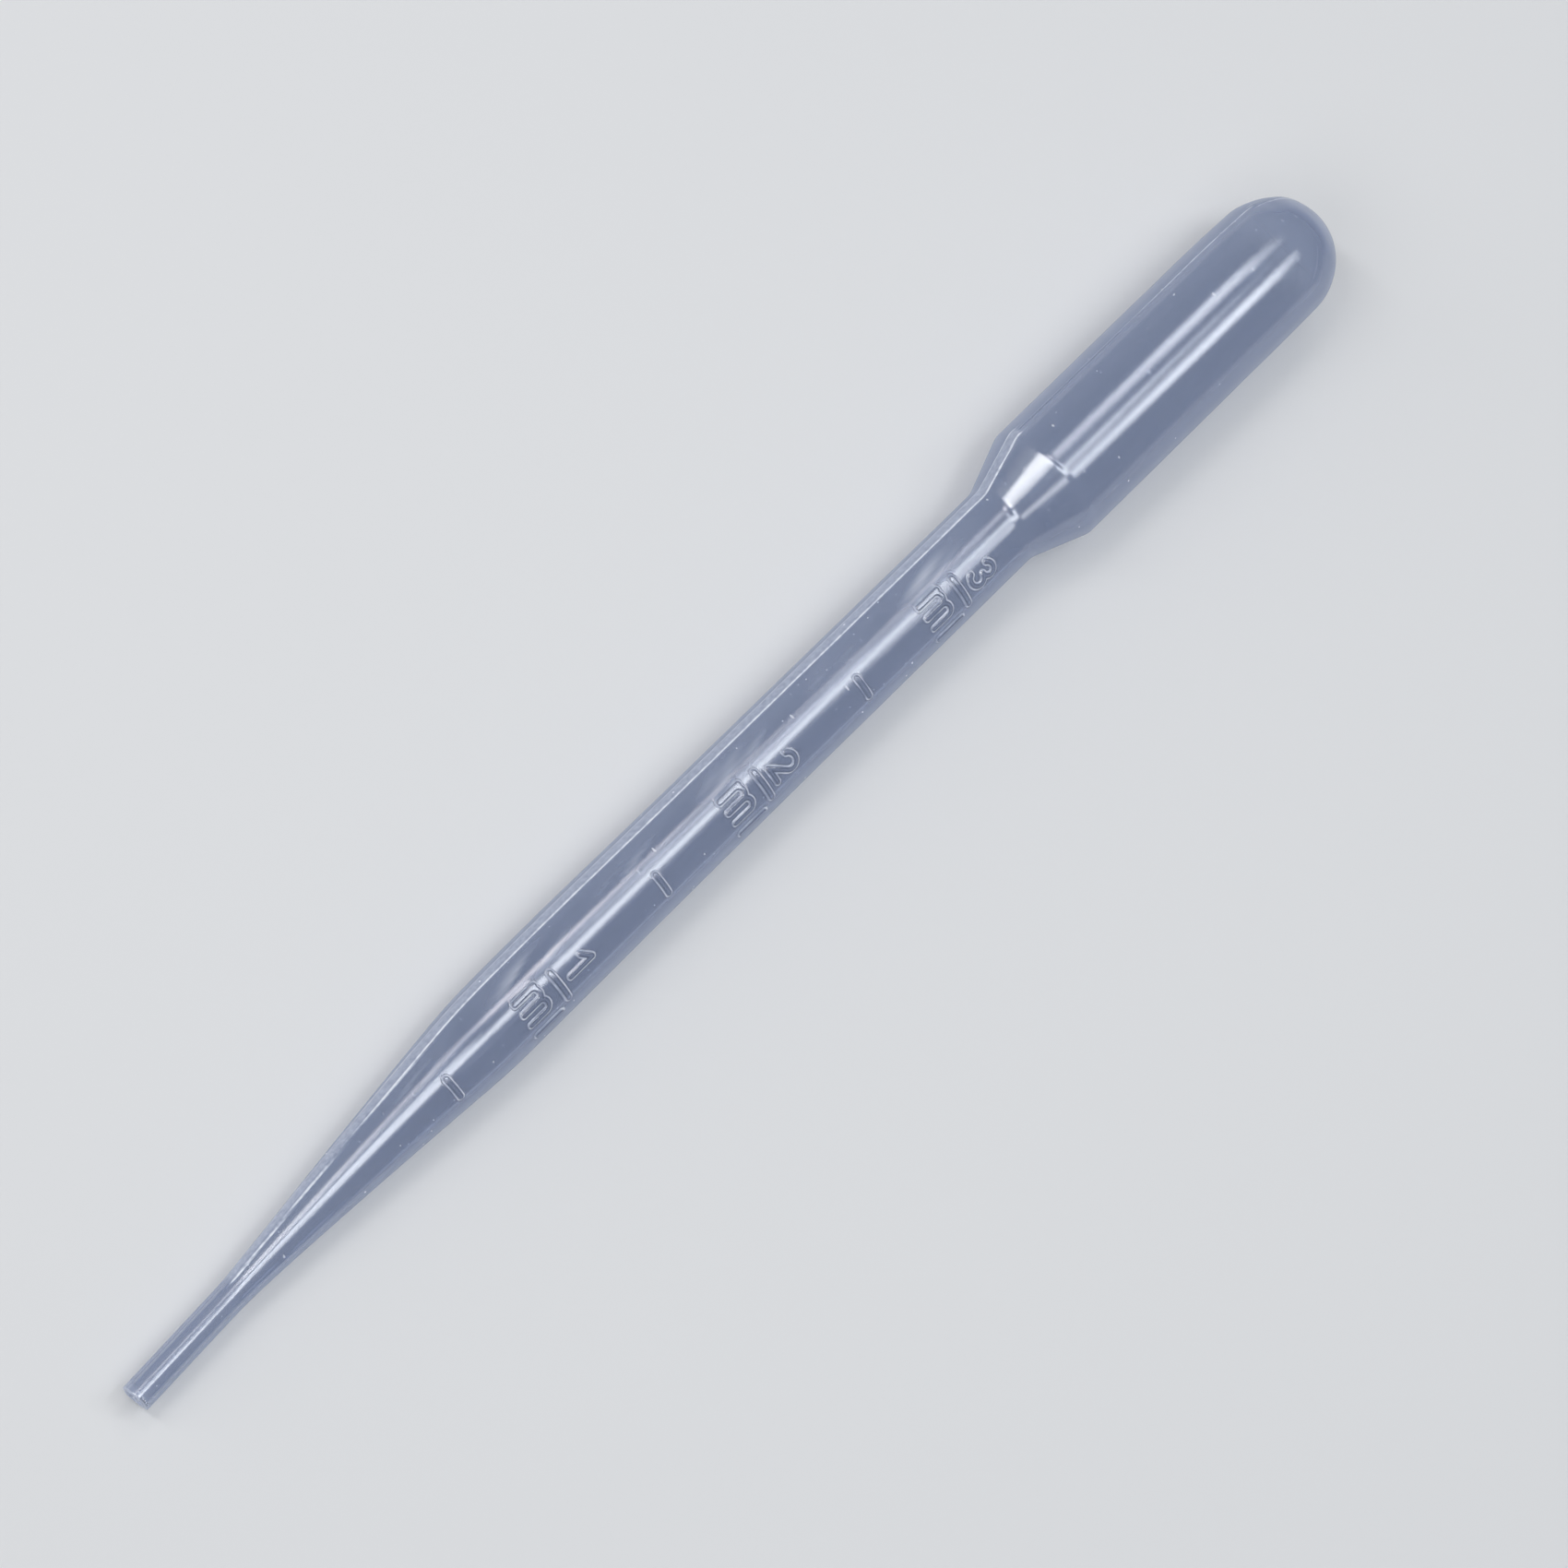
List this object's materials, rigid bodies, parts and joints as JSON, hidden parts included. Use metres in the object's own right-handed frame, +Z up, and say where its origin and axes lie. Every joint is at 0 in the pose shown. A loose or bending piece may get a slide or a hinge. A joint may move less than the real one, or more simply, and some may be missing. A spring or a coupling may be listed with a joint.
{
  "type": "plastic dropper pipette",
  "caption": "Graduated plastic dropper pipette blown in one piece, with a squeeze bulb, a straight stem with raised millilitre marks and a long taper to an open tip.",
  "frame": {"origin": "under the middle of the part, on the surface that it lies on", "axes": "+X along the part, from the tip to the bulb; +Z up; the graduations face up and towards -Y"},
  "size_m": [0.155, 0.0122, 0.013],
  "materials": {
    "soft_polyethylene": "translucent milky polyethylene with a soft gloss, faint blue haze and fine scuffs"
  },
  "bodies": {
    "root": {"pipette_body": "soft_polyethylene"}
  },
  "joints": []
}
